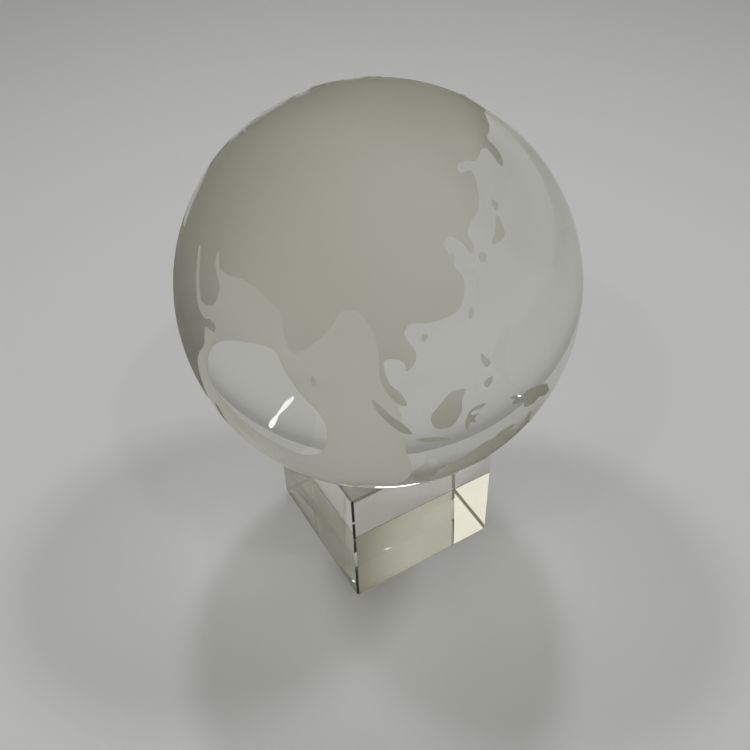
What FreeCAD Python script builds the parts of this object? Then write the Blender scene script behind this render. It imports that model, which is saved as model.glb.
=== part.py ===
import FreeCAD, Part
import math
import os
import Sketcher

# A solid crystal ball with a sandblasted world map, resting in the dish of a crystal cube.
# Millimetres. +Z is up, and the origin is the middle of the cube's bottom face, on the table.
# The cube's side faces look along X and Y.

SIZES = {
    "ball_diameter": 110.0,    # polished sphere
    "base_width": 50.0,        # cube, along X
    "base_depth": 50.0,        # cube, along Y
    "base_height": 50.0,       # cube, along Z
    "edge_bevel": 0.6,         # ground bevel on the cube's twelve edges, measured along each face
    "seat_depth": 2.65,        # the dish at its deepest, below the cube's top face
    "seat_clearance": 0.15,    # gap all over between the ball and the dish
    "map_depth": 0.15,         # how deep the continents are blasted into the ball
    "map_turn": 143.0,         # where the prime meridian points, about Z from +X
    "map_lean": 8.5,           # how far the map's north pole leans from the vertical
    "map_lean_towards": 55.5,  # which way it leans, about Z from +X
}

# The map's coastlines as (longitude, latitude) in degrees, one outline for each stretch of land.
# The map is drawn simply: no lakes, no inland seas, only the larger islands, and the Arctic and
# the North Sea blasted all over as one cap. The south of South America is drawn some degrees west
# of its true place.
LAND = {
    "eurasia": [
        (-5.6, 33.5), (-9.0, 37.0), (-9.2, 43.2), (-1.8, 43.4), (-1.2, 46.0), (-4.7, 48.4),
        (1.6, 50.9), (4.5, 52.3), (8.6, 53.9), (8.1, 56.5), (5.1, 60.0), (5.2, 62.1), (14.5, 67.8),
        (25.5, 71.1), (60.0, 73.0), (104.2, 77.7), (140.0, 72.5), (160.0, 69.7), (180.0, 68.9),
        (190.2, 66.1), (187.0, 64.5), (178.0, 65.0), (179.5, 62.3), (170.3, 60.0), (166.5, 58.3),
        (165.5, 54.5), (162.5, 51.2), (158.2, 49.2), (157.3, 51.0), (159.5, 55.3), (159.8, 57.2),
        (155.5, 58.2), (151.8, 56.7), (145.6, 56.0), (144.5, 57.4), (138.7, 58.1), (135.0, 57.0),
        (135.6, 54.4), (139.7, 54.6), (141.7, 53.4), (139.2, 49.3), (135.6, 44.5), (132.1, 41.9),
        (128.7, 40.6), (125.9, 38.4), (126.9, 35.9), (126.8, 34.2), (125.1, 33.6), (124.2, 35.0),
        (123.8, 36.4), (121.4, 38.4), (119.2, 39.0), (117.2, 37.2), (118.0, 35.0), (120.2, 34.7),
        (118.9, 33.0), (118.9, 31.6), (120.4, 30.2), (121.0, 28.4), (120.4, 25.8), (119.3, 23.8),
        (117.8, 22.2), (114.2, 21.2), (108.7, 20.7), (105.5, 21.3), (103.8, 20.6), (103.0, 19.3),
        (103.6, 17.8), (105.2, 15.8), (105.9, 14.4), (105.5, 12.6), (103.1, 10.3), (103.0, 12.6),
        (101.5, 13.6), (97.9, 13.8), (97.7, 11.9), (98.5, 9.6), (99.5, 7.6), (101.8, 6.0),
        (103.6, 2.3), (101.3, 2.8), (98.6, 5.8), (97.0, 8.5), (96.6, 11.5), (96.6, 15.8),
        (95.8, 18.9), (93.2, 22.5), (91.0, 24.2), (89.1, 24.4), (86.4, 23.6), (85.0, 20.6),
        (82.0, 17.6), (79.8, 15.6), (77.1, 14.0), (75.3, 13.2), (73.5, 14.5), (72.4, 16.6),
        (71.7, 19.4), (70.7, 21.9), (67.7, 22.8), (62.9, 24.7), (57.0, 25.7), (51.4, 24.7),
        (47.6, 24.9), (46.0, 25.8), (44.6, 28.3), (43.4, 27.9), (44.6, 25.3), (46.2, 23.8),
        (49.3, 21.8), (49.4, 18.2), (48.3, 16.4), (46.2, 15.6), (43.9, 15.2), (42.0, 15.8),
        (39.8, 19.4), (37.3, 23.0), (34.9, 25.9), (33.0, 25.9), (30.0, 20.0), (18.5, 20.5),
        (16.9, 23.4), (15.6, 26.1), (11.6, 31.9), (7.6, 34.2), (3.2, 35.0), (-0.3, 34.6),
        (-2.2, 33.6)],
    "arctic": [
        (-28.0, 73.0), (-12.0, 63.0), (-4.5, 58.2), (-2.6, 54.5), (-0.5, 51.6), (6.0, 51.0),
        (20.0, 58.0), (60.0, 64.0), (110.0, 68.0), (140.0, 68.0), (160.0, 66.0), (167.0, 59.2),
        (177.0, 58.8), (195.0, 60.0), (203.0, 60.5), (220.0, 68.0), (240.0, 68.0), (262.0, 67.6),
        (280.0, 69.0), (296.0, 75.0), (315.0, 78.0)],
    "africa": [
        (-5.9, 30.6), (1.0, 30.6), (5.4, 28.6), (9.0, 24.6), (13.0, 22.4), (18.0, 23.2), (20.0, 26.0),
        (34.0, 27.0), (33.9, 25.2), (35.7, 22.3), (38.1, 18.7), (40.2, 15.6), (41.3, 14.0),
        (43.2, 12.8), (45.3, 12.1), (48.0, 13.0), (50.6, 12.3), (50.2, 10.6), (47.4, 10.4),
        (45.9, 10.6), (45.8, 8.6), (46.0, 5.6), (43.1, 2.7), (41.2, -0.7), (40.5, -4.2), (40.7, -8.2),
        (39.8, -12.0), (38.6, -15.2), (34.8, -20.0), (35.5, -24.0), (32.8, -26.0), (30.8, -30.5),
        (25.5, -34.0), (20.0, -34.8), (18.3, -34.0), (14.5, -22.9), (11.8, -17.3), (13.8, -11.0),
        (12.3, -6.1), (8.8, -0.7), (9.6, 3.5), (4.3, 6.3), (-2.0, 4.8), (-7.6, 4.4), (-13.0, 8.5),
        (-16.7, 12.4), (-17.4, 14.7), (-16.3, 19.5), (-17.1, 21.0), (-14.5, 26.1), (-9.8, 30.0)],
    "madagascar": [
        (44.6, -11.6), (46.0, -13.4), (45.6, -17.0), (44.0, -22.0), (42.2, -22.6), (41.6, -19.6),
        (43.0, -16.6)],
    "sri_lanka": [(80.2, 9.5), (81.7, 7.5), (80.5, 6.0), (79.8, 7.5)],
    "great_britain": [
        (-5.5, 50.1), (1.3, 51.5), (1.6, 52.7), (-1.6, 55.3), (-2.0, 57.5), (-5.1, 58.5),
        (-6.0, 56.7), (-3.1, 54.4), (-4.9, 51.8)],
    "ireland": [(-6.2, 52.3), (-6.3, 54.6), (-7.8, 55.2), (-9.9, 54.2), (-10.2, 52.0)],
    "iceland": [(-22.5, 63.9), (-18.8, 63.4), (-13.6, 65.0), (-16.0, 66.4), (-24.0, 65.6)],
    "hokkaido": [(139.9, 41.0), (140.9, 44.2), (142.9, 43.0), (142.6, 41.3)],
    "honshu": [
        (132.5, 34.0), (136.2, 36.4), (139.6, 40.2), (140.5, 39.6), (140.0, 37.0), (139.4, 34.6),
        (136.0, 33.7)],
    "kyushu": [(127.7, 33.5), (130.4, 32.6), (129.3, 30.8), (127.2, 31.2)],
    "taiwan": [(120.3, 21.2), (121.3, 22.4), (122.2, 21.8), (121.1, 19.4), (120.2, 20.0)],
    "hainan": [(107.1, 18.2), (108.5, 18.8), (109.2, 17.8), (107.5, 16.7)],
    "luzon": [(122.4, 12.0), (123.8, 10.4), (125.4, 8.6), (123.6, 7.9), (122.5, 9.8)],
    "mindanao": [(122.7, 4.4), (124.4, 5.6), (125.8, 5.4), (125.3, 3.6), (124.0, 2.7)],
    "borneo": [
        (108.9, -1.1), (110.9, 1.3), (114.0, 4.5), (116.7, 4.5), (118.3, 4.3), (117.0, 2.2),
        (117.3, -1.7), (115.0, -5.4), (111.5, -5.5), (109.8, -4.2)],
    "sumatra": [
        (94.5, 4.9), (96.4, 3.5), (99.8, -0.3), (103.2, -3.1), (105.0, -5.9), (102.3, -5.3),
        (98.8, -2.0), (95.8, 1.6)],
    "java": [(105.2, -7.9), (106.5, -7.2), (110.9, -7.7), (114.6, -8.9), (114.4, -9.8), (108.5, -9.1)],
    "sulawesi": [
        (119.0, -7.8), (119.7, -7.8), (119.8, -5.3), (121.9, -6.7), (121.0, -4.6), (122.6, -3.5),
        (120.0, -3.6), (119.7, -2.4), (123.2, -2.2), (124.2, -1.0), (120.2, -1.3), (118.9, -2.6),
        (118.2, -5.5)],
    "new_guinea": [
        (131.3, -2.8), (133.6, -2.7), (135.0, -4.4), (138.0, -3.2), (145.0, -5.2), (147.8, -7.0),
        (150.8, -11.3), (147.0, -10.6), (144.5, -9.0), (142.8, -10.2), (138.0, -9.3), (137.5, -6.6),
        (133.6, -5.8), (132.4, -4.8), (133.6, -4.0)],
    "australia": [
        (142.5, -12.0), (143.8, -15.4), (146.3, -19.6), (149.0, -21.5), (153.2, -25.7),
        (153.6, -28.6), (151.5, -33.0), (150.0, -37.3), (146.4, -39.1), (143.5, -38.8),
        (140.5, -38.0), (137.8, -32.8), (135.5, -34.7), (131.2, -31.5), (126.0, -32.3),
        (123.5, -33.9), (118.0, -35.0), (115.0, -34.3), (115.7, -31.8), (113.5, -26.2),
        (113.9, -22.8), (121.5, -20.0), (122.3, -18.4), (126.8, -15.2), (129.5, -16.0),
        (130.8, -13.6), (136.8, -13.4), (135.5, -16.0), (139.5, -18.3), (141.0, -17.5)],
    "tasmania": [(144.8, -40.8), (148.3, -40.9), (147.8, -43.2), (146.0, -43.5)],
    "north_island": [
        (172.8, -34.5), (175.4, -36.8), (178.4, -37.7), (177.0, -39.5), (175.3, -41.6),
        (173.8, -39.3), (174.7, -37.5)],
    "south_island": [
        (172.7, -40.6), (174.2, -41.5), (172.8, -43.8), (170.7, -46.0), (168.4, -46.6),
        (166.5, -46.0), (171.5, -41.8)],
    "north_america": [
        (-168.1, 65.6), (-166.5, 68.4), (-156.6, 71.3), (-141.0, 69.6), (-128.0, 70.5),
        (-115.0, 68.0), (-95.5, 68.2), (-94.0, 71.8), (-88.0, 68.8), (-82.0, 69.7), (-87.0, 64.5),
        (-94.5, 59.0), (-92.5, 57.0), (-85.0, 55.3), (-82.3, 52.9), (-79.5, 51.3), (-79.0, 54.5),
        (-77.0, 57.5), (-78.0, 62.4), (-69.8, 59.0), (-64.8, 60.3), (-61.5, 57.0), (-55.8, 53.0),
        (-60.0, 50.2), (-66.5, 50.2), (-71.0, 47.0), (-65.0, 48.8), (-64.5, 46.2), (-60.0, 46.2),
        (-66.0, 43.6), (-67.0, 44.9), (-70.2, 43.6), (-70.0, 41.7), (-74.0, 40.6), (-75.5, 35.3),
        (-81.2, 31.5), (-80.1, 25.4), (-81.6, 25.8), (-82.7, 28.0), (-84.0, 30.0), (-89.3, 29.2),
        (-94.0, 29.6), (-97.3, 27.5), (-97.8, 22.5), (-96.0, 19.2), (-91.2, 18.6), (-90.4, 21.0),
        (-87.0, 21.5), (-88.3, 15.8), (-83.3, 15.0), (-83.7, 11.0), (-82.0, 9.0), (-79.6, 9.5),
        (-77.4, 9.0), (-77.4, 7.0), (-80.2, 7.4), (-85.8, 10.2), (-87.7, 13.0), (-95.0, 16.0),
        (-105.4, 20.2), (-109.5, 26.5), (-114.0, 31.5), (-109.5, 23.0), (-115.0, 28.0),
        (-117.2, 32.6), (-120.6, 34.6), (-124.4, 40.4), (-124.0, 46.3), (-123.0, 49.0),
        (-130.5, 54.5), (-139.8, 59.6), (-146.5, 60.8), (-151.5, 59.2), (-154.5, 58.5),
        (-162.5, 55.2), (-158.0, 58.5), (-162.0, 58.8), (-165.5, 61.5), (-161.2, 64.3)],
    "baffin": [(-66.0, 62.0), (-61.5, 66.7), (-68.0, 70.2), (-76.0, 72.8), (-88.0, 73.5), (-84.5, 70.5),
               (-73.0, 66.5), (-77.0, 64.2)],
    "victoria_island": [(-117.0, 69.2), (-105.0, 69.2), (-105.0, 73.0), (-117.0, 73.0)],
    "ellesmere": [(-80.0, 76.3), (-68.0, 80.0), (-66.0, 82.3), (-75.0, 83.0), (-90.0, 81.5), (-87.0, 77.0)],
    "newfoundland": [(-59.3, 47.7), (-52.8, 47.0), (-55.5, 51.5)],
    "cuba": [(-84.8, 21.9), (-81.5, 23.2), (-74.2, 20.1), (-77.7, 19.9)],
    "hispaniola": [(-74.0, 18.5), (-72.8, 19.9), (-68.5, 18.7), (-71.0, 18.0)],
    "greenland": [
        (-44.0, 60.0), (-37.0, 65.6), (-24.0, 69.0), (-20.0, 74.0), (-17.5, 79.5), (-23.0, 82.3),
        (-35.0, 83.5), (-58.0, 82.0), (-72.0, 78.2), (-58.0, 75.5), (-54.5, 71.0), (-53.5, 67.0)],
    "south_america": [
        (-78.6, 8.4), (-77.0, 8.7), (-75.5, 10.7), (-71.9, 12.3), (-62.0, 10.7), (-57.0, 6.0),
        (-51.5, 4.3), (-48.0, -0.8), (-39.5, -3.0), (-35.2, -5.2), (-34.8, -8.0), (-39.0, -13.5),
        (-41.0, -17.8), (-45.0, -22.0), (-52.5, -26.0), (-57.5, -31.2), (-60.2, -33.8),
        (-63.1, -35.5), (-65.0, -36.7), (-65.7, -38.9), (-66.6, -40.8), (-67.8, -42.6),
        (-69.4, -44.4), (-71.3, -45.9), (-72.8, -47.5), (-73.6, -49.0), (-76.5, -52.0),
        (-75.0, -54.8), (-79.0, -55.5), (-85.5, -53.5), (-88.7, -49.6), (-87.6, -47.2),
        (-86.3, -44.9), (-84.9, -42.8), (-84.0, -40.0), (-83.4, -36.0), (-80.5, -28.0),
        (-74.5, -18.3), (-77.0, -14.0), (-81.3, -4.7), (-80.9, -1.0), (-77.3, 3.9)],
    "antarctica": [
        (-57.0, -63.3), (-62.0, -67.0), (-61.0, -73.0), (-78.0, -79.0), (-40.0, -78.0),
        (-26.0, -75.5), (-10.0, -71.0), (15.0, -69.8), (35.0, -69.0), (55.0, -66.0), (68.0, -69.0),
        (75.0, -69.5), (90.0, -66.5), (130.0, -66.0), (145.0, -67.0), (160.0, -70.0), (170.0, -72.0),
        (165.0, -78.0), (-175.0, -78.5), (-160.0, -78.0), (-135.0, -74.5), (-100.0, -73.0),
        (-80.0, -73.0), (-68.0, -70.0), (-67.0, -66.5)],
}

# The map is drawn stretched towards the poles between the equator and 62 degrees. The drawn
# latitude is the true one plus these multiples of its own first, second and third powers.
STRETCHED_BELOW = 62.0
STRETCH = [0.1568, 0.000054, -0.0000432]
CUTTER_NEAR = 0.3    # the map cutters start this far out from the ball's centre, in ball radii
CUTTER_PROUD = 2.0   # and end this far outside the ball

# The ball's centre above the table. The dish is concentric with the ball.
BALL_HEIGHT = "sizes.base_height - sizes.seat_depth + sizes.seat_clearance + sizes.ball_diameter / 2"

DISH_TOLERANCE = 0.01    # how far the cut dish may be from its volume, as a share of it


def drawn_latitude(latitude):
    if abs(latitude) >= STRETCHED_BELOW:
        return latitude
    first, second, third = STRETCH
    return latitude + first * latitude + second * latitude**2 + third * latitude**3


def map_rotation(sheet):
    """Turns the map about the vertical, then leans its pole over."""
    up = FreeCAD.Vector(0, 0, 1)
    lean_direction = math.radians(sheet.map_lean_towards)
    lean_axis = FreeCAD.Vector(-math.sin(lean_direction), math.cos(lean_direction), 0)
    turn = FreeCAD.Rotation(up, sheet.map_turn)
    lean = FreeCAD.Rotation(lean_axis, sheet.map_lean)
    return lean.multiply(turn)


def direction(longitude, latitude):
    east = math.radians(longitude)
    north = math.radians(drawn_latitude(latitude))
    return FreeCAD.Vector(
        math.cos(north) * math.cos(east), math.cos(north) * math.sin(east), math.sin(north))


def flat_outline(directions, middle, distance):
    """The outline where its directions from the ball's centre meet a plane across the middle one."""
    corners = [way * (distance / way.dot(middle)) for way in directions]
    return corners, Part.Face(Part.makePolygon(corners + corners[:1]))


def land_cutter(outline, rotation, near, far):
    """A solid that widens outwards from near the ball's centre, with the outline as its section."""
    directions = [rotation.multVec(direction(*place)) for place in outline]
    middle = FreeCAD.Vector()
    for way in directions:
        middle = middle + way
    middle.normalize()
    inner, inner_face = flat_outline(directions, middle, near)
    outer, outer_face = flat_outline(directions, middle, far)
    faces = [inner_face, outer_face]
    for index in range(len(outline)):
        following = (index + 1) % len(outline)
        side = [inner[index], inner[following], outer[following], outer[index], inner[index]]
        faces.append(Part.Face(Part.makePolygon(side)))
    solid = Part.Solid(Part.Shell(faces))
    if solid.Volume < 0:
        solid.reverse()
    return solid


def make_sheet(document):
    sheet = document.addObject("Spreadsheet::Sheet", "sizes")
    for row, (name, value) in enumerate(SIZES.items(), start=1):
        sheet.set(f"A{row}", name)
        sheet.set(f"B{row}", str(value))
        sheet.setAlias(f"B{row}", name)
    document.recompute()
    return sheet


def origin_plane(body, role):
    return next(plane for plane in body.Origin.OriginFeatures if plane.Role == role)


def sketch_on(body, name, plane):
    sketch = body.newObject("Sketcher::SketchObject", name)
    sketch.AttachmentSupport = [(origin_plane(body, plane), "")]
    sketch.MapMode = "FlatFace"
    return sketch


def bind(sketch, constraint, name, expression):
    number = sketch.addConstraint(constraint)
    sketch.renameConstraint(number, name)
    sketch.setExpression(f"Constraints.{name}", expression)


def centred_rectangle(sketch, width, depth, width_expression, depth_expression):
    right, back = width / 2, depth / 2
    corners = [(-right, -back), (right, -back), (right, back), (-right, back)]
    for index in range(4):
        start = FreeCAD.Vector(*corners[index], 0)
        end = FreeCAD.Vector(*corners[(index + 1) % 4], 0)
        sketch.addGeometry(Part.LineSegment(start, end), False)
    for index in range(4):
        sketch.addConstraint(Sketcher.Constraint("Coincident", index, 2, (index + 1) % 4, 1))
    for line in (0, 2):
        sketch.addConstraint(Sketcher.Constraint("Horizontal", line))
    for line in (1, 3):
        sketch.addConstraint(Sketcher.Constraint("Vertical", line))
    sketch.addConstraint(Sketcher.Constraint("Symmetric", 0, 1, 1, 2, -1, 1))
    bind(sketch, Sketcher.Constraint("DistanceX", 0, 1, 0, 2, width), "width", width_expression)
    bind(sketch, Sketcher.Constraint("DistanceY", 1, 1, 1, 2, depth), "depth", depth_expression)


def seat_profile(sketch, radius, height):
    """Half a circle on the upright axis, the section of the ball that the dish is ground to."""
    centre = FreeCAD.Vector(0, height, 0)
    up = FreeCAD.Vector(0, 0, 1)
    arc = Part.ArcOfCircle(Part.Circle(centre, up, radius), -math.pi / 2, math.pi / 2)
    sketch.addGeometry(arc, False)
    top = FreeCAD.Vector(0, height + radius, 0)
    bottom = FreeCAD.Vector(0, height - radius, 0)
    sketch.addGeometry(Part.LineSegment(top, bottom), False)
    sketch.addConstraint(Sketcher.Constraint("Coincident", 0, 2, 1, 1))
    sketch.addConstraint(Sketcher.Constraint("Coincident", 1, 2, 0, 1))
    sketch.addConstraint(Sketcher.Constraint("PointOnObject", 0, 3, -2))
    sketch.addConstraint(Sketcher.Constraint("PointOnObject", 1, 1, -2))
    sketch.addConstraint(Sketcher.Constraint("PointOnObject", 1, 2, -2))
    bind(sketch, Sketcher.Constraint("Radius", 0, radius), "radius",
         "sizes.ball_diameter / 2 + sizes.seat_clearance")
    bind(sketch, Sketcher.Constraint("DistanceY", -1, 1, 0, 3, height), "height", BALL_HEIGHT)


def make_cube_base(document, sheet):
    body = document.addObject("PartDesign::Body", "cube_base")
    body.Label = "cube_base"

    plan = sketch_on(body, "cube_plan", "XY_Plane")
    centred_rectangle(plan, sheet.base_width, sheet.base_depth, "sizes.base_width", "sizes.base_depth")
    cube = body.newObject("PartDesign::Pad", "cube")
    cube.Profile = plan
    cube.setExpression("Length", "sizes.base_height")
    document.recompute()

    bevels = body.newObject("PartDesign::Chamfer", "bevels")
    bevels.Base = (cube, [f"Edge{number + 1}" for number in range(len(cube.Shape.Edges))])
    bevels.setExpression("Size", "sizes.edge_bevel")
    document.recompute()

    radius = sheet.ball_diameter / 2 + sheet.seat_clearance
    height = sheet.base_height - sheet.seat_depth + radius
    section = sketch_on(body, "seat_section", "XZ_Plane")
    seat_profile(section, radius, height)
    seat = body.newObject("PartDesign::Groove", "seat")
    seat.Profile = section
    seat.ReferenceAxis = (section, ["V_Axis"])
    seat.Angle = 360.0
    body.Tip = seat
    document.recompute()

    depth = sheet.seat_depth
    dish_volume = math.pi * depth**2 * (radius - depth / 3)
    if abs(bevels.Shape.Volume - seat.Shape.Volume - dish_volume) > DISH_TOLERANCE * dish_volume:
        raise RuntimeError("the dish is not cut to its size")
    return body


def make_crystal_ball(document, sheet):
    polished = document.addObject("Part::Sphere", "polished_ball")
    polished.setExpression("Radius", "sizes.ball_diameter / 2")
    core = document.addObject("Part::Sphere", "ball_below_the_map")
    core.setExpression("Radius", "sizes.ball_diameter / 2 - sizes.map_depth")
    shell = document.addObject("Part::Cut", "blasted_layer")
    shell.Base = polished
    shell.Tool = core

    radius = sheet.ball_diameter / 2
    rotation = map_rotation(sheet)
    cutters = []
    for name, outline in LAND.items():
        cutter = document.addObject("Part::Feature", f"outline_of_{name}")
        cutter.Shape = land_cutter(outline, rotation, CUTTER_NEAR * radius, radius + CUTTER_PROUD)
        cutters.append(cutter)
    outlines = document.addObject("Part::MultiFuse", "outlines")
    outlines.Shapes = cutters
    continents = document.addObject("Part::Common", "continents")
    continents.Base = shell
    continents.Tool = outlines

    whole = document.addObject("Part::Sphere", "whole_ball")
    whole.setExpression("Radius", "sizes.ball_diameter / 2")
    ball = document.addObject("Part::Cut", "crystal_ball")
    ball.Label = "crystal_ball"
    ball.Base = whole
    ball.Tool = continents
    ball.setExpression("Placement.Base.z", BALL_HEIGHT)
    return ball


def check(document, parts):
    for item in document.Objects:
        if "Invalid" in item.State or "Error" in item.State:
            raise RuntimeError(f"{item.Name} failed: {item.State}")
    for part in parts:
        shape = part.Shape
        if shape.isNull() or not shape.isValid() or len(shape.Solids) != 1:
            raise RuntimeError(f"{part.Label} is not one valid solid")


def main():
    document = FreeCAD.newDocument("crystal_ball_on_cube")
    sheet = make_sheet(document)
    parts = [make_cube_base(document, sheet), make_crystal_ball(document, sheet)]
    document.recompute()
    check(document, parts)
    os.makedirs("parts", exist_ok=True)
    for part in parts:
        part.Shape.exportStep(f"parts/{part.Label}.step")
        print(part.Label, round(part.Shape.Volume, 1), "mm3", part.Shape.BoundBox)


main()
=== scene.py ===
import math

import bpy
import numpy as np
from mathutils import Matrix, Vector
from mathutils.geometry import delaunay_2d_cdt


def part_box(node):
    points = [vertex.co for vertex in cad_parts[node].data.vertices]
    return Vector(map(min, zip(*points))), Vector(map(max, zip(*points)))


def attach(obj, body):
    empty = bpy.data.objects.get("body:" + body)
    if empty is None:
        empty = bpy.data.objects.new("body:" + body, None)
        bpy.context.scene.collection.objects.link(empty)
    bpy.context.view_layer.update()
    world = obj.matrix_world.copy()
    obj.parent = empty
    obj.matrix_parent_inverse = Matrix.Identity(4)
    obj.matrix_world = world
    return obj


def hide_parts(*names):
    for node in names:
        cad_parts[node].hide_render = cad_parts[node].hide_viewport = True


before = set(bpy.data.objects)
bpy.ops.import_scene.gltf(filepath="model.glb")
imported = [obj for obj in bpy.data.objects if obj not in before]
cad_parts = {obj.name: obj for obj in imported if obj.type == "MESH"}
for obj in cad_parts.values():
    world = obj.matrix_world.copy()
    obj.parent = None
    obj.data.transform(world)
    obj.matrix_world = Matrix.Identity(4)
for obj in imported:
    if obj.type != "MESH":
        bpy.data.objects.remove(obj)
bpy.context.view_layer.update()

# A solid crystal ball with a sandblasted world map, resting in the dish of a crystal cube.
# Metres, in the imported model's frame: the middle of the cube's bottom face is the origin.

# ---- sizes ---------------------------------------------------------------------------------

base_low, base_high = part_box("cube_base")
BASE_HALF = (base_high.x - base_low.x) / 2
BASE_HEIGHT = base_high.z
EDGE_BEVEL = 0.0006
SEAT_DEPTH = 0.00265
SEAT_CLEARANCE = 0.00015
BALL_RADIUS = 0.055
MAP_DEPTH = 0.00015
BALL_CENTRE = Vector((0.0, 0.0, BASE_HEIGHT - SEAT_DEPTH + SEAT_CLEARANCE + BALL_RADIUS))

# ---- the map -------------------------------------------------------------------------------

MAP_TURN = math.radians(143.0)
MAP_LEAN = math.radians(8.5)
MAP_LEAN_TOWARDS = math.radians(55.5)
STRETCHED_BELOW = 62.0
STRETCH = (0.1568, 0.000054, -0.0000432)

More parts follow.
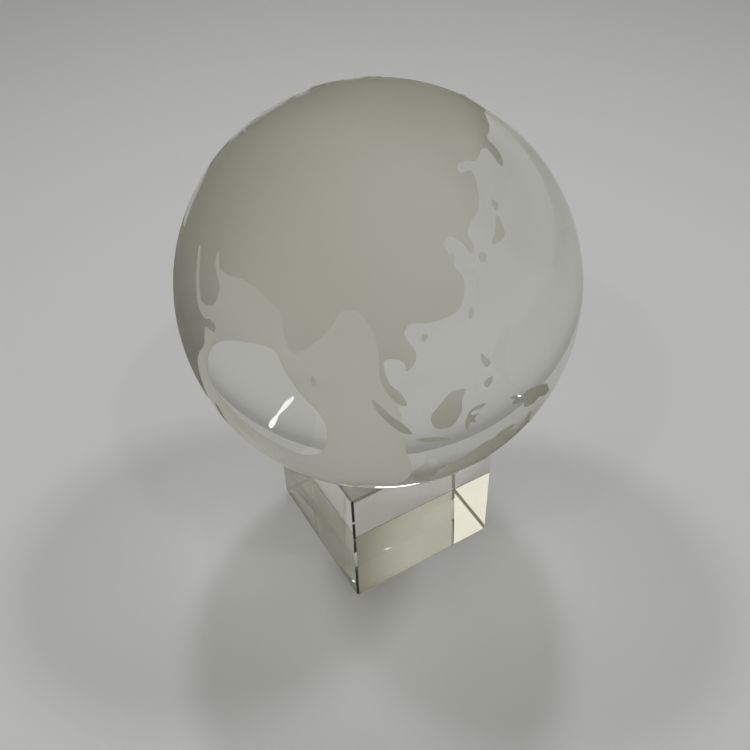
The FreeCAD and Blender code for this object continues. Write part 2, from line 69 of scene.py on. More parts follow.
# Coastlines as (longitude, latitude) in degrees, one outline for each stretch of land.
LAND = {
    "eurasia": [
        (-5.6, 33.5), (-9.0, 37.0), (-9.2, 43.2), (-1.8, 43.4), (-1.2, 46.0), (-4.7, 48.4),
        (1.6, 50.9), (4.5, 52.3), (8.6, 53.9), (8.1, 56.5), (5.1, 60.0), (5.2, 62.1), (14.5, 67.8),
        (25.5, 71.1), (60.0, 73.0), (104.2, 77.7), (140.0, 72.5), (160.0, 69.7), (180.0, 68.9),
        (190.2, 66.1), (187.0, 64.5), (178.0, 65.0), (179.5, 62.3), (170.3, 60.0), (166.5, 58.3),
        (165.5, 54.5), (162.5, 51.2), (158.2, 49.2), (157.3, 51.0), (159.5, 55.3), (159.8, 57.2),
        (155.5, 58.2), (151.8, 56.7), (145.6, 56.0), (144.5, 57.4), (138.7, 58.1), (135.0, 57.0),
        (135.6, 54.4), (139.7, 54.6), (141.7, 53.4), (139.2, 49.3), (135.6, 44.5), (132.1, 41.9),
        (128.7, 40.6), (125.9, 38.4), (126.9, 35.9), (126.8, 34.2), (125.1, 33.6), (124.2, 35.0),
        (123.8, 36.4), (121.4, 38.4), (119.2, 39.0), (117.2, 37.2), (118.0, 35.0), (120.2, 34.7),
        (118.9, 33.0), (118.9, 31.6), (120.4, 30.2), (121.0, 28.4), (120.4, 25.8), (119.3, 23.8),
        (117.8, 22.2), (114.2, 21.2), (108.7, 20.7), (105.5, 21.3), (103.8, 20.6), (103.0, 19.3),
        (103.6, 17.8), (105.2, 15.8), (105.9, 14.4), (105.5, 12.6), (103.1, 10.3), (103.0, 12.6),
        (101.5, 13.6), (97.9, 13.8), (97.7, 11.9), (98.5, 9.6), (99.5, 7.6), (101.8, 6.0),
        (103.6, 2.3), (101.3, 2.8), (98.6, 5.8), (97.0, 8.5), (96.6, 11.5), (96.6, 15.8),
        (95.8, 18.9), (93.2, 22.5), (91.0, 24.2), (89.1, 24.4), (86.4, 23.6), (85.0, 20.6),
        (82.0, 17.6), (79.8, 15.6), (77.1, 14.0), (75.3, 13.2), (73.5, 14.5), (72.4, 16.6),
        (71.7, 19.4), (70.7, 21.9), (67.7, 22.8), (62.9, 24.7), (57.0, 25.7), (51.4, 24.7),
        (47.6, 24.9), (46.0, 25.8), (44.6, 28.3), (43.4, 27.9), (44.6, 25.3), (46.2, 23.8),
        (49.3, 21.8), (49.4, 18.2), (48.3, 16.4), (46.2, 15.6), (43.9, 15.2), (42.0, 15.8),
        (39.8, 19.4), (37.3, 23.0), (34.9, 25.9), (33.0, 25.9), (30.0, 20.0), (18.5, 20.5),
        (16.9, 23.4), (15.6, 26.1), (11.6, 31.9), (7.6, 34.2), (3.2, 35.0), (-0.3, 34.6),
        (-2.2, 33.6)],
    "arctic": [
        (-28.0, 73.0), (-12.0, 63.0), (-4.5, 58.2), (-2.6, 54.5), (-0.5, 51.6), (6.0, 51.0),
        (20.0, 58.0), (60.0, 64.0), (110.0, 68.0), (140.0, 68.0), (160.0, 66.0), (167.0, 59.2),
        (177.0, 58.8), (195.0, 60.0), (203.0, 60.5), (220.0, 68.0), (240.0, 68.0), (262.0, 67.6),
        (280.0, 69.0), (296.0, 75.0), (315.0, 78.0)],
    "africa": [
        (-5.9, 30.6), (1.0, 30.6), (5.4, 28.6), (9.0, 24.6), (13.0, 22.4), (18.0, 23.2), (20.0, 26.0),
        (34.0, 27.0), (33.9, 25.2), (35.7, 22.3), (38.1, 18.7), (40.2, 15.6), (41.3, 14.0),
        (43.2, 12.8), (45.3, 12.1), (48.0, 13.0), (50.6, 12.3), (50.2, 10.6), (47.4, 10.4),
        (45.9, 10.6), (45.8, 8.6), (46.0, 5.6), (43.1, 2.7), (41.2, -0.7), (40.5, -4.2), (40.7, -8.2),
        (39.8, -12.0), (38.6, -15.2), (34.8, -20.0), (35.5, -24.0), (32.8, -26.0), (30.8, -30.5),
        (25.5, -34.0), (20.0, -34.8), (18.3, -34.0), (14.5, -22.9), (11.8, -17.3), (13.8, -11.0),
        (12.3, -6.1), (8.8, -0.7), (9.6, 3.5), (4.3, 6.3), (-2.0, 4.8), (-7.6, 4.4), (-13.0, 8.5),
        (-16.7, 12.4), (-17.4, 14.7), (-16.3, 19.5), (-17.1, 21.0), (-14.5, 26.1), (-9.8, 30.0)],
    "madagascar": [
        (44.6, -11.6), (46.0, -13.4), (45.6, -17.0), (44.0, -22.0), (42.2, -22.6), (41.6, -19.6),
        (43.0, -16.6)],
    "sri_lanka": [(80.2, 9.5), (81.7, 7.5), (80.5, 6.0), (79.8, 7.5)],
    "great_britain": [
        (-5.5, 50.1), (1.3, 51.5), (1.6, 52.7), (-1.6, 55.3), (-2.0, 57.5), (-5.1, 58.5),
        (-6.0, 56.7), (-3.1, 54.4), (-4.9, 51.8)],
    "ireland": [(-6.2, 52.3), (-6.3, 54.6), (-7.8, 55.2), (-9.9, 54.2), (-10.2, 52.0)],
    "iceland": [(-22.5, 63.9), (-18.8, 63.4), (-13.6, 65.0), (-16.0, 66.4), (-24.0, 65.6)],
    "hokkaido": [(139.9, 41.0), (140.9, 44.2), (142.9, 43.0), (142.6, 41.3)],
    "honshu": [
        (132.5, 34.0), (136.2, 36.4), (139.6, 40.2), (140.5, 39.6), (140.0, 37.0), (139.4, 34.6),
        (136.0, 33.7)],
    "kyushu": [(127.7, 33.5), (130.4, 32.6), (129.3, 30.8), (127.2, 31.2)],
    "taiwan": [(120.3, 21.2), (121.3, 22.4), (122.2, 21.8), (121.1, 19.4), (120.2, 20.0)],
    "hainan": [(107.1, 18.2), (108.5, 18.8), (109.2, 17.8), (107.5, 16.7)],
    "luzon": [(122.4, 12.0), (123.8, 10.4), (125.4, 8.6), (123.6, 7.9), (122.5, 9.8)],
    "mindanao": [(122.7, 4.4), (124.4, 5.6), (125.8, 5.4), (125.3, 3.6), (124.0, 2.7)],
    "borneo": [
        (108.9, -1.1), (110.9, 1.3), (114.0, 4.5), (116.7, 4.5), (118.3, 4.3), (117.0, 2.2),
        (117.3, -1.7), (115.0, -5.4), (111.5, -5.5), (109.8, -4.2)],
    "sumatra": [
        (94.5, 4.9), (96.4, 3.5), (99.8, -0.3), (103.2, -3.1), (105.0, -5.9), (102.3, -5.3),
        (98.8, -2.0), (95.8, 1.6)],
    "java": [(105.2, -7.9), (106.5, -7.2), (110.9, -7.7), (114.6, -8.9), (114.4, -9.8), (108.5, -9.1)],
    "sulawesi": [
        (119.0, -7.8), (119.7, -7.8), (119.8, -5.3), (121.9, -6.7), (121.0, -4.6), (122.6, -3.5),
        (120.0, -3.6), (119.7, -2.4), (123.2, -2.2), (124.2, -1.0), (120.2, -1.3), (118.9, -2.6),
        (118.2, -5.5)],
    "new_guinea": [
        (131.3, -2.8), (133.6, -2.7), (135.0, -4.4), (138.0, -3.2), (145.0, -5.2), (147.8, -7.0),
        (150.8, -11.3), (147.0, -10.6), (144.5, -9.0), (142.8, -10.2), (138.0, -9.3), (137.5, -6.6),
        (133.6, -5.8), (132.4, -4.8), (133.6, -4.0)],
    "australia": [
        (142.5, -12.0), (143.8, -15.4), (146.3, -19.6), (149.0, -21.5), (153.2, -25.7),
        (153.6, -28.6), (151.5, -33.0), (150.0, -37.3), (146.4, -39.1), (143.5, -38.8),
        (140.5, -38.0), (137.8, -32.8), (135.5, -34.7), (131.2, -31.5), (126.0, -32.3),
        (123.5, -33.9), (118.0, -35.0), (115.0, -34.3), (115.7, -31.8), (113.5, -26.2),
        (113.9, -22.8), (121.5, -20.0), (122.3, -18.4), (126.8, -15.2), (129.5, -16.0),
        (130.8, -13.6), (136.8, -13.4), (135.5, -16.0), (139.5, -18.3), (141.0, -17.5)],
    "tasmania": [(144.8, -40.8), (148.3, -40.9), (147.8, -43.2), (146.0, -43.5)],
    "north_island": [
        (172.8, -34.5), (175.4, -36.8), (178.4, -37.7), (177.0, -39.5), (175.3, -41.6),
        (173.8, -39.3), (174.7, -37.5)],
    "south_island": [
        (172.7, -40.6), (174.2, -41.5), (172.8, -43.8), (170.7, -46.0), (168.4, -46.6),
        (166.5, -46.0), (171.5, -41.8)],
    "north_america": [
        (-168.1, 65.6), (-166.5, 68.4), (-156.6, 71.3), (-141.0, 69.6), (-128.0, 70.5),
        (-115.0, 68.0), (-95.5, 68.2), (-94.0, 71.8), (-88.0, 68.8), (-82.0, 69.7), (-87.0, 64.5),
        (-94.5, 59.0), (-92.5, 57.0), (-85.0, 55.3), (-82.3, 52.9), (-79.5, 51.3), (-79.0, 54.5),
        (-77.0, 57.5), (-78.0, 62.4), (-69.8, 59.0), (-64.8, 60.3), (-61.5, 57.0), (-55.8, 53.0),
        (-60.0, 50.2), (-66.5, 50.2), (-71.0, 47.0), (-65.0, 48.8), (-64.5, 46.2), (-60.0, 46.2),
        (-66.0, 43.6), (-67.0, 44.9), (-70.2, 43.6), (-70.0, 41.7), (-74.0, 40.6), (-75.5, 35.3),
        (-81.2, 31.5), (-80.1, 25.4), (-81.6, 25.8), (-82.7, 28.0), (-84.0, 30.0), (-89.3, 29.2),
        (-94.0, 29.6), (-97.3, 27.5), (-97.8, 22.5), (-96.0, 19.2), (-91.2, 18.6), (-90.4, 21.0),
        (-87.0, 21.5), (-88.3, 15.8), (-83.3, 15.0), (-83.7, 11.0), (-82.0, 9.0), (-79.6, 9.5),
        (-77.4, 9.0), (-77.4, 7.0), (-80.2, 7.4), (-85.8, 10.2), (-87.7, 13.0), (-95.0, 16.0),
        (-105.4, 20.2), (-109.5, 26.5), (-114.0, 31.5), (-109.5, 23.0), (-115.0, 28.0),
        (-117.2, 32.6), (-120.6, 34.6), (-124.4, 40.4), (-124.0, 46.3), (-123.0, 49.0),
        (-130.5, 54.5), (-139.8, 59.6), (-146.5, 60.8), (-151.5, 59.2), (-154.5, 58.5),
        (-162.5, 55.2), (-158.0, 58.5), (-162.0, 58.8), (-165.5, 61.5), (-161.2, 64.3)],
    "baffin": [(-66.0, 62.0), (-61.5, 66.7), (-68.0, 70.2), (-76.0, 72.8), (-88.0, 73.5), (-84.5, 70.5),
               (-73.0, 66.5), (-77.0, 64.2)],
    "victoria_island": [(-117.0, 69.2), (-105.0, 69.2), (-105.0, 73.0), (-117.0, 73.0)],
    "ellesmere": [(-80.0, 76.3), (-68.0, 80.0), (-66.0, 82.3), (-75.0, 83.0), (-90.0, 81.5), (-87.0, 77.0)],
    "newfoundland": [(-59.3, 47.7), (-52.8, 47.0), (-55.5, 51.5)],
    "cuba": [(-84.8, 21.9), (-81.5, 23.2), (-74.2, 20.1), (-77.7, 19.9)],
    "hispaniola": [(-74.0, 18.5), (-72.8, 19.9), (-68.5, 18.7), (-71.0, 18.0)],
    "greenland": [
        (-44.0, 60.0), (-37.0, 65.6), (-24.0, 69.0), (-20.0, 74.0), (-17.5, 79.5), (-23.0, 82.3),
        (-35.0, 83.5), (-58.0, 82.0), (-72.0, 78.2), (-58.0, 75.5), (-54.5, 71.0), (-53.5, 67.0)],
    "south_america": [
        (-78.6, 8.4), (-77.0, 8.7), (-75.5, 10.7), (-71.9, 12.3), (-62.0, 10.7), (-57.0, 6.0),
        (-51.5, 4.3), (-48.0, -0.8), (-39.5, -3.0), (-35.2, -5.2), (-34.8, -8.0), (-39.0, -13.5),
        (-41.0, -17.8), (-45.0, -22.0), (-52.5, -26.0), (-57.5, -31.2), (-60.2, -33.8),
        (-63.1, -35.5), (-65.0, -36.7), (-65.7, -38.9), (-66.6, -40.8), (-67.8, -42.6),
        (-69.4, -44.4), (-71.3, -45.9), (-72.8, -47.5), (-73.6, -49.0), (-76.5, -52.0),
        (-75.0, -54.8), (-79.0, -55.5), (-85.5, -53.5), (-88.7, -49.6), (-87.6, -47.2),
        (-86.3, -44.9), (-84.9, -42.8), (-84.0, -40.0), (-83.4, -36.0), (-80.5, -28.0),
        (-74.5, -18.3), (-77.0, -14.0), (-81.3, -4.7), (-80.9, -1.0), (-77.3, 3.9)],
    "antarctica": [
        (-57.0, -63.3), (-62.0, -67.0), (-61.0, -73.0), (-78.0, -79.0), (-40.0, -78.0),
        (-26.0, -75.5), (-10.0, -71.0), (15.0, -69.8), (35.0, -69.0), (55.0, -66.0), (68.0, -69.0),
        (75.0, -69.5), (90.0, -66.5), (130.0, -66.0), (145.0, -67.0), (160.0, -70.0), (170.0, -72.0),
        (165.0, -78.0), (-175.0, -78.5), (-160.0, -78.0), (-135.0, -74.5), (-100.0, -73.0),
        (-80.0, -73.0), (-68.0, -70.0), (-67.0, -66.5)],
}

SKIN_POINTS = 20000         # points spread evenly over the ball, for its skin
COAST_STEP = 0.0013         # a coastline has a point at least this often
COAST_MARGIN = 0.55         # skin points nearer a coast than this share of their spacing are left out
SHORE_WIDTH = 0.0002        # the slope from the ball's skin down to the blasted floor
SHORE_HALVINGS = 8          # how often the shore is halved where the land is too narrow for it
CORNER_ROUNDING = 0.22      # share of each side that a rounded corner of a coastline takes
OPEN_SEA = (-120.0, -38.0)  # a place with no land for a long way round it
BATCH = 1000                # skin points compared with the coasts at one time
TINY = 1e-9                 # a length that counts as none


def direction_of(azimuth, elevation):
    """A unit vector from two angles in radians."""
    level = math.cos(elevation)
    return Vector((level * math.cos(azimuth), level * math.sin(azimuth), math.sin(elevation)))


def drawn_latitude(latitude):
    """The map is drawn stretched towards the poles, as the part's source says."""
    if abs(latitude) >= STRETCHED_BELOW:
        return latitude
    first, second, third = STRETCH
    return latitude + first * latitude + second * latitude**2 + third * latitude**3


def place_on_map(longitude, latitude):
    """The direction from the ball's centre to a place on the map."""
    east, north = math.radians(longitude), math.radians(drawn_latitude(latitude))
    turn = Matrix.Rotation(MAP_TURN, 3, "Z")
    lean_axis = Vector((-math.sin(MAP_LEAN_TOWARDS), math.cos(MAP_LEAN_TOWARDS), 0.0))
    lean = Matrix.Rotation(MAP_LEAN, 3, lean_axis)
    return lean @ turn @ direction_of(east, north)


def rounded(corners):
    """The outline with each corner cut to two points, and long sides divided."""
    points = []
    for index, corner in enumerate(corners):
        before, after = corners[index - 1], corners[(index + 1) % len(corners)]
        points.append(corner.lerp(before, CORNER_ROUNDING).normalized())
        points.append(corner.lerp(after, CORNER_ROUNDING).normalized())
    divided = []
    for index, start in enumerate(points):
        end = points[(index + 1) % len(points)]
        count = max(1, math.ceil((end - start).length * BALL_RADIUS / COAST_STEP))
        divided += [start.lerp(end, step / count).normalized() for step in range(count)]
    return divided


def spread_points(count):
    """Points spread evenly over a sphere along one long spiral."""
    golden = math.pi * (3 - math.sqrt(5))
    index = np.arange(count)
    height = 1 - (2 * index + 1) / count
    ring = np.sqrt(1 - height**2)
    return np.stack([ring * np.cos(golden * index), ring * np.sin(golden * index), height], 1)


def skin_points(coast_points, pole):
    """The coasts' points, and the evenly spread ones that lie near neither a coast nor the pole."""
    spacing = math.sqrt(4 * math.pi / SKIN_POINTS)
    fill = spread_points(SKIN_POINTS)
    near = np.zeros(len(fill), bool)
    for start in range(0, len(fill), BATCH):
        closeness = fill[start:start + BATCH] @ coast_points.T
        near[start:start + BATCH] = closeness.max(1) > math.cos(COAST_MARGIN * spacing)
    fill = fill[~near & (fill @ np.array(pole) < math.cos(spacing))]
    return np.concatenate([coast_points, fill])


def coast_loops(coasts, flat):
    """Each coast as a list of numbers of flat points, all going round the same way."""
    loops, first = [], 0
    for coast in coasts:
        loop = list(range(first, first + len(coast)))
        first += len(coast)
        x, y = flat[loop].T
        area = np.sum(x * np.roll(y, -1) - np.roll(x, -1) * y)
        loops.append(loop if area > 0 else loop[::-1])
    return loops


def triangles_round_pole(triangles, last):
    """The triangles that join the pole, point number last, to the edge of the hole round it."""
    sides = {
        (triangle[corner], triangle[(corner + 1) % 3])
        for triangle in triangles for corner in range(3)}
    return [(end, start, last) for start, end in sides if (end, start) not in sides]


def skin_of_the_ball():
    """Directions, triangles and which triangles are land.

    The sphere is flattened by a stereographic projection from the open sea. It keeps circles, so
    the flat Delaunay triangles are the round ones.
    """
    pole = place_on_map(*OPEN_SEA)
    across = pole.orthogonal().normalized()
    axes = np.array([across, pole.cross(across), pole])
    coasts = [rounded([place_on_map(*place) for place in outline]) for outline in LAND.values()]
    coast_points = np.array([point for coast in coasts for point in coast])
    points = skin_points(coast_points, pole) @ axes.T
    flat = points[:, :2] / (1 - points[:, 2:])
    loops = coast_loops(coasts, flat)
    found = delaunay_2d_cdt([Vector(point) for point in flat], [], loops, 0, TINY)
    flat_found, _, triangles, _, _, land_of = found

    flat_found = np.array(flat_found)
    square = (flat_found**2).sum(1)
    local = np.column_stack([2 * flat_found, square - 1]) / (square + 1)[:, None]
    directions = np.vstack([local @ axes, np.array(pole)])
    triangles = [tuple(triangle) for triangle in triangles]
    closing = triangles_round_pole(triangles, len(directions) - 1)
    land = [len(names) > 0 for names in land_of] + [False] * len(closing)
    triangles = [tuple(reversed(triangle)) for triangle in triangles + closing]
    a, b, c = directions[list(triangles[0])]
    if np.cross(b - a, c - a) @ (a + b + c) < 0:
        triangles = [tuple(reversed(triangle)) for triangle in triangles]
    return directions, triangles, land


def new_piece(name, points, faces, normals, materials, slots):
    """A mesh object with a normal for each corner of each face, and a material slot for each face."""
    mesh = bpy.data.meshes.new(name)
    mesh.from_pydata(points, [], faces)
    for material in materials:
        mesh.materials.append(material)
    mesh.polygons.foreach_set("material_index", slots)
    mesh.polygons.foreach_set("use_smooth", [True] * len(faces))
    mesh.update()
    mesh.normals_split_custom_set(normals)
    piece = bpy.data.objects.new(name, mesh)
    bpy.context.scene.collection.objects.link(piece)
    return piece


def move_inland(directions, inland, land_triangles):
    """Moves the coast points inland, by less where the land is too narrow for the full shore."""
    shore = np.full((len(directions), 1), SHORE_WIDTH / BALL_RADIUS)
    for _ in range(SHORE_HALVINGS):
        moved = directions + inland * shore
        first, second, third = (moved[land_triangles[:, corner]] for corner in range(3))
        facing = np.einsum("ij,ij->i", np.cross(second - first, third - first), first)
        shore[np.unique(land_triangles[facing <= 0.0])] /= 2
    return moved / np.linalg.norm(moved, axis=1)[:, None]


def shores_of(triangles, land):
    """The sides that have land on one side and sea on the other, as pairs of points."""
    side_of = {}
    for triangle, is_land in zip(triangles, land):
        for corner in range(3):
            side_of[triangle[corner], triangle[(corner + 1) % 3]] = is_land
    return [
        (start, end) for (start, end), is_land in side_of.items()
        if is_land and not side_of[end, start]]


def make_ball(clear, frosted):
    """The ball as one closed skin, sunken and frosted where there is land."""
    directions, triangles, land = skin_of_the_ball()
    count = len(directions)
    shores = shores_of(triangles, land)

    # the blasted floor starts a little way in from the coast, at the foot of a steep slope
    inland = np.zeros((count, 3))
    for start, end in shores:
        across = np.cross(directions[start] + directions[end], directions[end] - directions[start])
        inland[[start, end]] += across / np.linalg.norm(across)
    inland /= np.maximum(np.linalg.norm(inland, axis=1), TINY)[:, None]
    sunken = move_inland(directions, inland, np.array(triangles)[np.array(land, bool)])

    points = np.vstack([directions * BALL_RADIUS, sunken * (BALL_RADIUS - MAP_DEPTH)])
    points += np.array(BALL_CENTRE)
    faces = [
        tuple(corner + count * is_land for corner in triangle)
        for triangle, is_land in zip(triangles, land)]
    faces += [(start, end, end + count, start + count) for start, end in shores]
    slots = [int(is_land) for is_land in land] + [1] * len(shores)
    outwards = np.vstack([directions, sunken])
    normals = [outwards[corner] for face in faces for corner in face]
    used = sorted({corner for face in faces for corner in face})
    number = {old: new for new, old in enumerate(used)}
    faces = [tuple(number[corner] for corner in face) for face in faces]
    return new_piece("ball_of_crystal", points[used], faces, normals, [clear, frosted], slots)


# ---- the base ------------------------------------------------------------------------------

DISH_TURNS = 192
DISH_RINGS = 24
SAME_PLACE = 1e-7    # points of the base's faces that are nearer than this are one point
SIDES = (-1, 1)
CORNERS = ((1, 1), (-1, 1), (-1, -1), (1, -1))


class FaceList:
    """Faces with the normal of each of their corners."""

    def __init__(self):
        self.points, self.normals, self.faces = [], [], []

    def add(self, corners, corner_normals):
        first = len(self.points)
        self.points.extend(corners)
        self.faces.append(tuple(range(first, first + len(corners))))
        self.normals.extend(corner_normals)

    def add_flat(self, corners, outwards):
        normal = (corners[1] - corners[0]).cross(corners[2] - corners[1]).normalized()
        if normal.dot(outwards) < 0:
            corners, normal = corners[::-1], -normal
        self.add(corners, [normal] * len(corners))


def cube_corner(signs, face_axis):
    """The corner of the face across face_axis that lies nearest the cube's corner."""
    low = Vector((-BASE_HALF, -BASE_HALF, 0.0))
    high = Vector((BASE_HALF, BASE_HALF, BASE_HEIGHT))
    point = Vector([high[axis] if signs[axis] > 0 else low[axis] for axis in range(3)])
    for axis in range(3):
        if axis != face_axis:
            point[axis] -= signs[axis] * EDGE_BEVEL
    return point


def along_axis(axis, size):
    way = Vector()
    way[axis] = size
    return way


def add_square(found, axis, side):
    corners = []
    for along, across in CORNERS:
        signs = [0, 0, 0]
        signs[axis], signs[(axis + 1) % 3], signs[(axis + 2) % 3] = side, along, across
        corners.append(cube_corner(signs, axis))
    found.add_flat(corners, along_axis(axis, side))


def add_edge_bevel(found, axis, along, across):
    """The bevel of the edge that runs along one axis, on the given side of the other two."""
    second, third = (axis + 1) % 3, (axis + 2) % 3
    corners = []
    for end in SIDES:
        signs = [0, 0, 0]
        signs[axis], signs[second], signs[third] = end, along, across
        pair = [cube_corner(signs, second), cube_corner(signs, third)]
        corners += pair if end < 0 else pair[::-1]
    found.add_flat(corners, along_axis(second, along) + along_axis(third, across))


def add_cube(found):
    """All faces of the bevelled cube but the top one, which has the dish."""
    for axis in range(3):
        for side in SIDES:
            if not (axis == 2 and side == 1):
                add_square(found, axis, side)
        for along in SIDES:
            for across in SIDES:
                add_edge_bevel(found, axis, along, across)
    for x in SIDES:
        for y in SIDES:
            for z in SIDES:
                tip = [cube_corner((x, y, z), axis) for axis in range(3)]
                found.add_flat(tip, Vector((x, y, z)))


def on_dish(ring, turn):
    """A point of the dish, concentric with the ball, and its normal."""
    radius = BALL_RADIUS + SEAT_CLEARANCE
    rim_angle = math.acos((BALL_CENTRE.z - BASE_HEIGHT) / radius)
    lean = rim_angle * ring / DISH_RINGS
    way = direction_of(2 * math.pi * turn / DISH_TURNS, lean - math.pi / 2)
    return BALL_CENTRE + way * radius, -way


def add_dish(found):
    for turn in range(DISH_TURNS):
        centre = [on_dish(0, 0), on_dish(1, turn), on_dish(1, turn + 1)]
        found.add(*zip(*centre))
        for ring in range(1, DISH_RINGS):
            quad = [
                on_dish(ring, turn), on_dish(ring + 1, turn),
                on_dish(ring + 1, turn + 1), on_dish(ring, turn + 1)]
            found.add(*zip(*quad))


def add_flat_round_dish(found):
    """The rest of the top face: a fan from each corner to its quarter of the rim."""
    up = Vector((0, 0, 1))
    inner = BASE_HALF - EDGE_BEVEL
    quarter = DISH_TURNS // 4
    tips = [Vector((x * inner, y * inner, BASE_HEIGHT)) for x, y in CORNERS]
    for index, tip in enumerate(tips):
        last = (index + 1) * quarter
        for turn in range(index * quarter, last):
            found.add_flat([tip, on_dish(DISH_RINGS, turn)[0], on_dish(DISH_RINGS, turn + 1)[0]], up)
        found.add_flat([tip, tips[(index + 1) % 4], on_dish(DISH_RINGS, last)[0]], up)


def merged(points, faces):
    """The same faces with points that lie together made one."""
    number, kept, renumbered = {}, [], []
    for face in faces:
        corners = []
        for corner in face:
            key = tuple(round(value / SAME_PLACE) for value in points[corner])
            if key not in number:
                number[key] = len(kept)
                kept.append(points[corner])
            corners.append(number[key])
        renumbered.append(tuple(corners))
    return kept, renumbered


def make_base(crystal):
    """A bevelled cube whose top face has a ground dish."""
    found = FaceList()
    add_cube(found)
    add_dish(found)
    add_flat_round_dish(found)
    points, faces = merged(found.points, found.faces)
    return new_piece("base_of_crystal", points, faces, found.normals, [crystal], [0] * len(faces))


# ---- materials -----------------------------------------------------------------------------

CRYSTAL_IOR = 1.52
CLEAR_TINT = (0.90, 0.90, 0.86)
BASE_TINT = (0.955, 0.95, 0.895)
FROSTED_TINT = (0.81, 0.80, 0.69)
FROSTED_ROUGHNESS = 0.7
ROUGHNESS_RANGE = (0.62, 0.76)    # the blasting is a little uneven
CLOUD_SCALE = 60.0
GRAIN_SCALE = 5000.0
GRAIN_DEPTH = 0.00005
GRAIN_STRENGTH = 0.15
# painted light: the floor's two colours below make a painted pool of light near the object, with painted
# shade farther out
FLOOR_PAINTED_LIGHT = (0.82, 0.83, 0.875)
FLOOR_PAINTED_SHADE = (0.50, 0.51, 0.535)
PAINTED_FALLOFF_DISTANCES = (0.15, 0.55)         # the distances between which the floor darkens
FLOOR_ROUGHNESS = 0.6
FLOOR_SHINE = 0.25


def new_material(name):
    """A material, its node tree and its Principled shader."""
    material = bpy.data.materials.new(name)
    material.use_nodes = True
    return material, material.node_tree, material.node_tree.nodes["Principled BSDF"]


def set_glass(shader, tint, roughness):
    shader.inputs["Base Color"].default_value = (*tint, 1.0)
    shader.inputs["Roughness"].default_value = roughness
    shader.inputs["IOR"].default_value = CRYSTAL_IOR
    shader.inputs["Transmission Weight"].default_value = 1.0


def add_noise(tree, vector, scale, detail):
    noise = tree.nodes.new("ShaderNodeTexNoise")
    noise.inputs["Scale"].default_value = scale
    noise.inputs["Detail"].default_value = detail
    tree.links.new(vector, noise.inputs["Vector"])
    return noise.outputs["Fac"]


def make_clear_crystal(name, tint):
    material, _, shader = new_material(name)
    set_glass(shader, tint, 0.0)
    return material


def make_frosted_crystal():
    """Sandblasted crystal: rough all over, a little uneven, with a fine grain."""
    material, tree, shader = new_material("frosted_crystal")
    set_glass(shader, FROSTED_TINT, FROSTED_ROUGHNESS)
    place = tree.nodes.new("ShaderNodeTexCoord").outputs["Object"]
    rough = tree.nodes.new("ShaderNodeMapRange")
    rough.inputs["To Min"].default_value, rough.inputs["To Max"].default_value = ROUGHNESS_RANGE
    tree.links.new(add_noise(tree, place, CLOUD_SCALE, detail=4.0), rough.inputs["Value"])
    tree.links.new(rough.outputs["Result"], shader.inputs["Roughness"])
    bump = tree.nodes.new("ShaderNodeBump")
    bump.inputs["Strength"].default_value = GRAIN_STRENGTH
    bump.inputs["Distance"].default_value = GRAIN_DEPTH
    tree.links.new(add_noise(tree, place, GRAIN_SCALE, detail=2.0), bump.inputs["Height"])
    tree.links.new(bump.outputs["Normal"], shader.inputs["Normal"])
    return material


def make_floor_with_painted_light_pool():
    """The pale sheet that the object stands on, with a painted pool of light: its colour is palest in the
    middle and darkens farther out as painted shade.
    """
    material, tree, shader = new_material("floor_with_painted_light_pool")
    places = tree.nodes.new("ShaderNodeTexCoord")
    distance = tree.nodes.new("ShaderNodeVectorMath")
    distance.operation = "LENGTH"
    tree.links.new(places.outputs["Object"], distance.inputs[0])
    # painted shade: the floor's colour darkens between these distances from the object
    painted_falloff = tree.nodes.new("ShaderNodeMapRange")
    painted_falloff.interpolation_type = "SMOOTHSTEP"
    painted_falloff.inputs["From Min"].default_value, painted_falloff.inputs["From Max"].default_value = PAINTED_FALLOFF_DISTANCES
    tree.links.new(distance.outputs["Value"], painted_falloff.inputs["Value"])
    # painted light: the colour blends from the painted pool of light to the painted shade
    painted_pool_colour = tree.nodes.new("ShaderNodeMix")
    painted_pool_colour.data_type = "RGBA"
    painted_pool_colour.inputs["A"].default_value = (*FLOOR_PAINTED_LIGHT, 1.0)
    painted_pool_colour.inputs["B"].default_value = (*FLOOR_PAINTED_SHADE, 1.0)
    tree.links.new(painted_falloff.outputs["Result"], painted_pool_colour.inputs["Factor"])
    tree.links.new(painted_pool_colour.outputs["Result"], shader.inputs["Base Color"])
    shader.inputs["Roughness"].default_value = FLOOR_ROUGHNESS
    shader.inputs["Specular IOR Level"].default_value = FLOOR_SHINE
    return material


# ---- the object ----------------------------------------------------------------------------

ball = make_ball(make_clear_crystal("clear_crystal", CLEAR_TINT), make_frosted_crystal())
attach(ball, "ball")
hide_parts("crystal_ball")

base = make_base(make_clear_crystal("base_crystal", BASE_TINT))
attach(base, "stand")
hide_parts("cube_base")

# ---- floor, lights and camera --------------------------------------------------------------

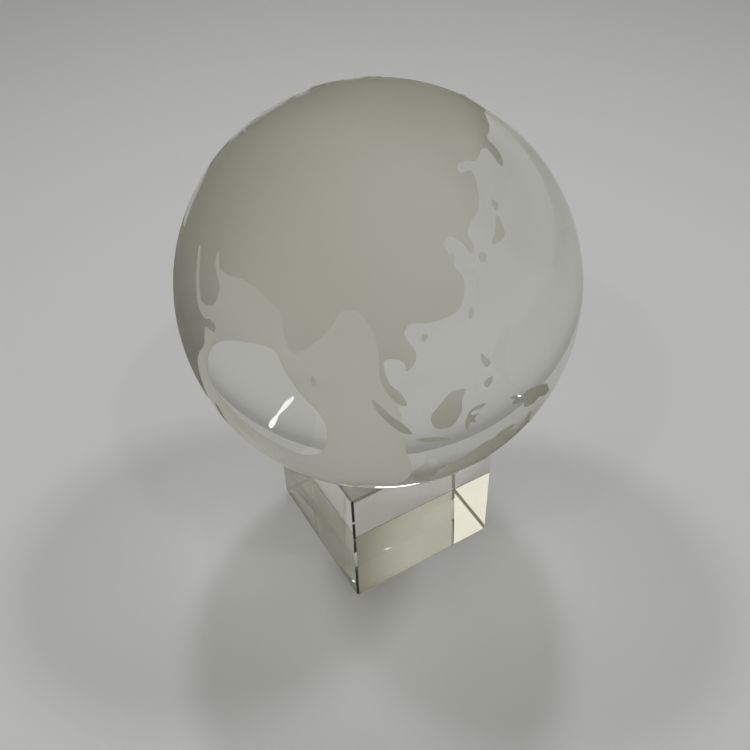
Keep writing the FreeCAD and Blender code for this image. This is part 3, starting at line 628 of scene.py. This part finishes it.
FLOOR_RADIUS = 0.9
FLOOR_TURNS = 96
FLOOR_GAP = 0.00005    # the air that is left under the cube's polished bottom face
HORIZON = (0.42, 0.42, 0.41)
CEILING = (0.18, 0.175, 0.135)
PANELS = (    # azimuth, elevation, radius and soft edge in degrees, brightness
    (45.0, 56.0, 6.5, 4.0, 0.28),
    (129.0, 52.0, 7.0, 4.0, 0.75),
)
PANEL_COLOUR = (1.0, 0.98, 0.88)
HORIZON_ENDS, CEILING_BEGINS = 0.05, 0.25    # sines of the elevation
LIGHT_DISTANCE = 1.8
LIGHTS = (    # name, azimuth and elevation in degrees, width and height in metres, power in watts
    ("right_light", -12.0, 60.0, 0.34, 0.20, 4.35),
    ("front_right_light", -80.0, 60.0, 0.05, 0.03, 1.1),
    ("front_left_light", -160.0, 54.5, 0.04, 0.03, 0.9),
    ("back_light", 57.0, 65.0, 0.20, 0.20, 4.0),
    ("left_light", 117.0, 62.0, 0.28, 0.20, 3.7),
)
CAMERA_PLACE = (-0.1053, -0.1834, 0.2905)
CAMERA_TURN, CAMERA_DOWN, CAMERA_ROLL = -29.43, 46.55, -1.92    # degrees
FOCAL_LENGTH, SENSOR_WIDTH = 49.6, 36.0                         # millimetres


def make_floor():
    ring = [
        (FLOOR_RADIUS * math.cos(2 * math.pi * turn / FLOOR_TURNS),
         FLOOR_RADIUS * math.sin(2 * math.pi * turn / FLOOR_TURNS), -FLOOR_GAP)
        for turn in range(FLOOR_TURNS)]
    mesh = bpy.data.meshes.new("floor")
    mesh.from_pydata(ring, [], [tuple(range(FLOOR_TURNS))])
    mesh.materials.append(make_floor_with_painted_light_pool())
    floor = bpy.data.objects.new("floor", mesh)
    bpy.context.scene.collection.objects.link(floor)


def add_area_light(name, azimuth, elevation, width, height, power):
    """A soft light aimed at the ball's centre. The angles are seen from that centre."""
    lamp = bpy.data.lights.new(name, "AREA")
    lamp.shape = "ELLIPSE"
    lamp.size, lamp.size_y = width, height
    lamp.energy = power
    light = bpy.data.objects.new(name, lamp)
    away = direction_of(math.radians(azimuth), math.radians(elevation))
    light.location = BALL_CENTRE + away * LIGHT_DISTANCE
    light.rotation_euler = (-away).to_track_quat("-Z", "Y").to_euler()
    bpy.context.scene.collection.objects.link(light)


def add_panel(tree, places, colour, panel):
    """Adds one soft round panel to the colour of the world, and returns the sum."""
    azimuth, elevation, radius, soft_edge, brightness = panel
    towards = tree.nodes.new("ShaderNodeVectorMath")
    towards.operation = "DOT_PRODUCT"
    towards.inputs[1].default_value = direction_of(math.radians(azimuth), math.radians(elevation))
    tree.links.new(places.outputs["Generated"], towards.inputs[0])
    edge = tree.nodes.new("ShaderNodeMapRange")
    edge.interpolation_type = "SMOOTHSTEP"
    edge.inputs["From Min"].default_value = math.cos(math.radians(radius + soft_edge))
    edge.inputs["From Max"].default_value = math.cos(math.radians(radius))
    tree.links.new(towards.outputs["Value"], edge.inputs["Value"])
    glow = tree.nodes.new("ShaderNodeMix")
    glow.data_type = "RGBA"
    glow.blend_type = "ADD"
    glow.inputs["B"].default_value = (*[brightness * part for part in PANEL_COLOUR], 1.0)
    tree.links.new(edge.outputs["Result"], glow.inputs["Factor"])
    tree.links.new(colour, glow.inputs["A"])
    return glow.outputs["Result"]


def make_world():
    """A plain studio: pale near the horizon, dim and warmer higher up, with soft round panels."""
    world = bpy.data.worlds.new("room")
    world.use_nodes = True
    tree = world.node_tree
    places = tree.nodes.new("ShaderNodeTexCoord")
    split = tree.nodes.new("ShaderNodeSeparateXYZ")
    tree.links.new(places.outputs["Generated"], split.inputs["Vector"])
    shades = tree.nodes.new("ShaderNodeValToRGB")
    tree.links.new(split.outputs["Z"], shades.inputs["Fac"])
    low, high = shades.color_ramp.elements
    low.position, low.color = HORIZON_ENDS, (*HORIZON, 1.0)
    high.position, high.color = CEILING_BEGINS, (*CEILING, 1.0)
    colour = shades.outputs["Color"]
    for panel in PANELS:
        colour = add_panel(tree, places, colour, panel)
    tree.links.new(colour, tree.nodes["Background"].inputs["Color"])
    bpy.context.scene.world = world


def make_camera():
    """At the photograph's viewpoint: above and in front of one edge of the cube."""
    lens = bpy.data.cameras.new("camera")
    lens.sensor_width, lens.lens = SENSOR_WIDTH, FOCAL_LENGTH
    lens.clip_start, lens.clip_end = 0.01, 20.0
    camera = bpy.data.objects.new("camera", lens)
    camera.location = CAMERA_PLACE
    turn = Matrix.Rotation(math.radians(CAMERA_TURN), 4, "Z")
    tilt = Matrix.Rotation(math.radians(90.0 - CAMERA_DOWN), 4, "X")
    roll = Matrix.Rotation(math.radians(CAMERA_ROLL), 4, "Z")
    camera.rotation_euler = (turn @ tilt @ roll).to_euler()
    bpy.context.scene.collection.objects.link(camera)
    bpy.context.scene.camera = camera


make_floor()
make_world()
make_camera()
for light in LIGHTS:
    add_area_light(*light)
bpy.context.scene.view_settings.view_transform = "Standard"
